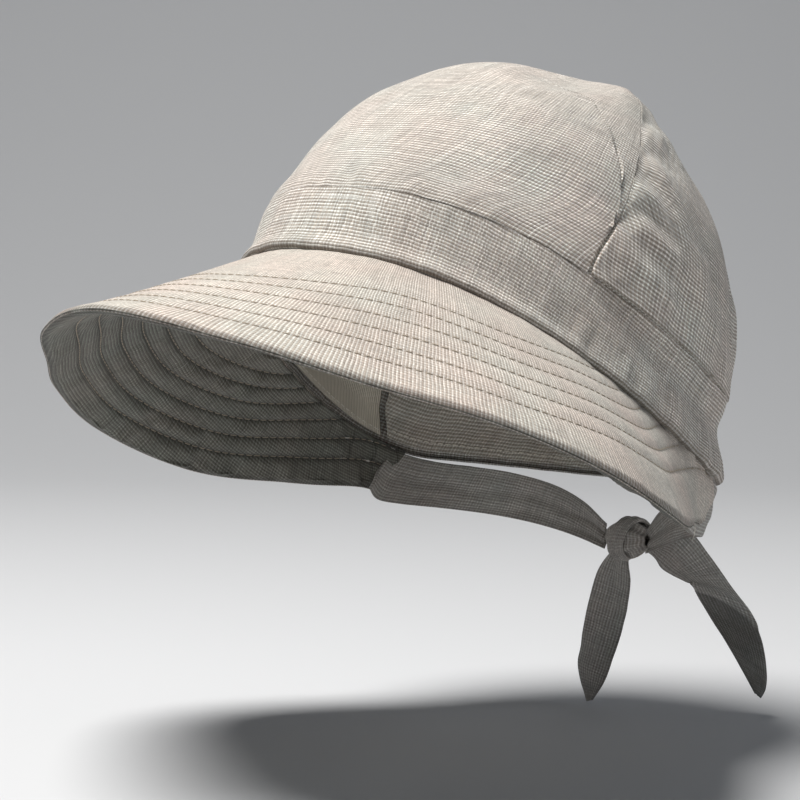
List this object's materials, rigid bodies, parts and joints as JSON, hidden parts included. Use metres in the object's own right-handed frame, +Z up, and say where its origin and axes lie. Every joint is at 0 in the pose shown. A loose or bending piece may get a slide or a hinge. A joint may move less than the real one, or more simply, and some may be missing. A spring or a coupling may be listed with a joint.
{
  "type": "cloth sun hat",
  "caption": "Soft woven-cloth sun hat: panelled crown on a band, wide stitched down-curved visor brim tapering behind the ears, and a self-fabric tie at the nape.",
  "frame": {"origin": "centre of the head opening, level with the middle of the crown's lower edge", "axes": "+Z up as worn, the front of the hat and its visor towards -Y, the wearer's left towards +X"},
  "size_m": [0.2664, 0.3292, 0.2673],
  "materials": {
    "cloth_crown": "woven linen-look cloth, beige and off-white",
    "cloth_band": "woven linen-look cloth, beige and off-white",
    "cloth_brim": "woven linen-look cloth with rows of stitching",
    "cloth_brim_under": "woven linen-look cloth with rows of stitching",
    "cloth_tie": "woven linen-look cloth",
    "seam_tape": "plain cotton tape",
    "sweatband_cotton": "ribbed cotton ribbon",
    "elastic": "braided elastic",
    "interlining": "stiff non-woven interlining"
  },
  "bodies": {
    "root": {"crown_front_panel": "cloth_crown", "crown_back_panel": "cloth_crown", "crown_seam_tape": "seam_tape", "crown_band": "cloth_band", "sweatband": "sweatband_cotton", "nape_elastic": "elastic", "nape_casing": "cloth_band", "brim_top_layer": "cloth_brim", "brim_interlining": "interlining", "brim_under_layer": "cloth_brim_under", "tie_strap_left": "cloth_tie", "tie_strap_right": "cloth_tie", "tie_knot": "cloth_tie"},
    "tail_left": {"tie_tail_left": "cloth_tie"},
    "tail_right": {"tie_tail_right": "cloth_tie"}
  },
  "joints": [
    {"name": "tail_left_swing", "type": "hinge", "parent": "root", "child": "tail_left", "pos_m": [0.0092, 0.1076, -0.064], "axis": [0, 0, 1], "range_deg": [-12, 60]},
    {"name": "tail_right_swing", "type": "hinge", "parent": "root", "child": "tail_right", "pos_m": [-0.008, 0.1058, -0.0705], "axis": [1, 0, 0], "range_deg": [-12, 60]}
  ]
}
